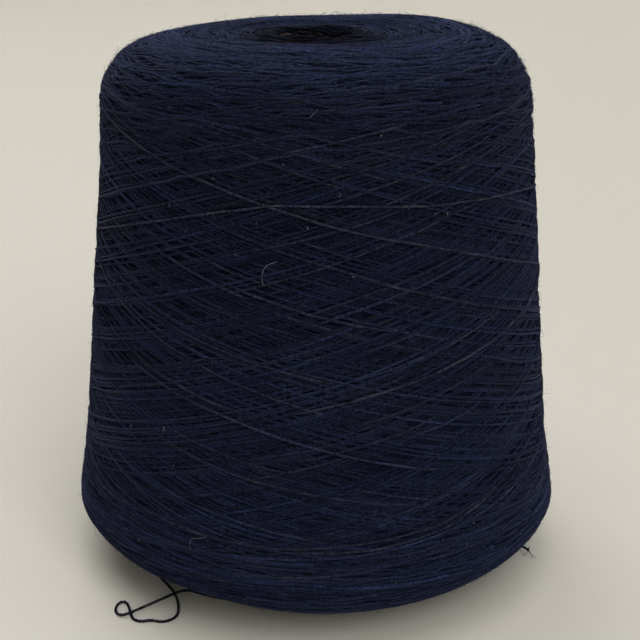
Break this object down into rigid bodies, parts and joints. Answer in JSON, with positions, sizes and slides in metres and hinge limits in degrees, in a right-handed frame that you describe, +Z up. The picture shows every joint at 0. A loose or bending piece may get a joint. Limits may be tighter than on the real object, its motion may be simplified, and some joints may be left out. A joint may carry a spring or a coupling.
{
  "type": "yarn cone",
  "caption": "Cross-wound cone of dark wool yarn on a tapered paperboard tube, with its free end lying in a loop at the foot; it stands on the tube or slips over a creel peg.",
  "frame": {"origin": "centre of the tube's base, on the surface that the cone stands on", "axes": "+Z up along the tube towards its nose, -Y towards the viewer of the picture"},
  "size_m": [0.158, 0.158, 0.1715],
  "materials": {
    "paperboard": "spirally wound grey-brown board, smooth and matt",
    "wool_yarn": "two-ply navy wool, slightly hairy and matt"
  },
  "bodies": {
    "root": {"cone_tube": "paperboard", "yarn_body": "wool_yarn", "outer_winding": "wool_yarn", "reserve_turns": "wool_yarn", "loose_tail": "wool_yarn"}
  },
  "joints": []
}
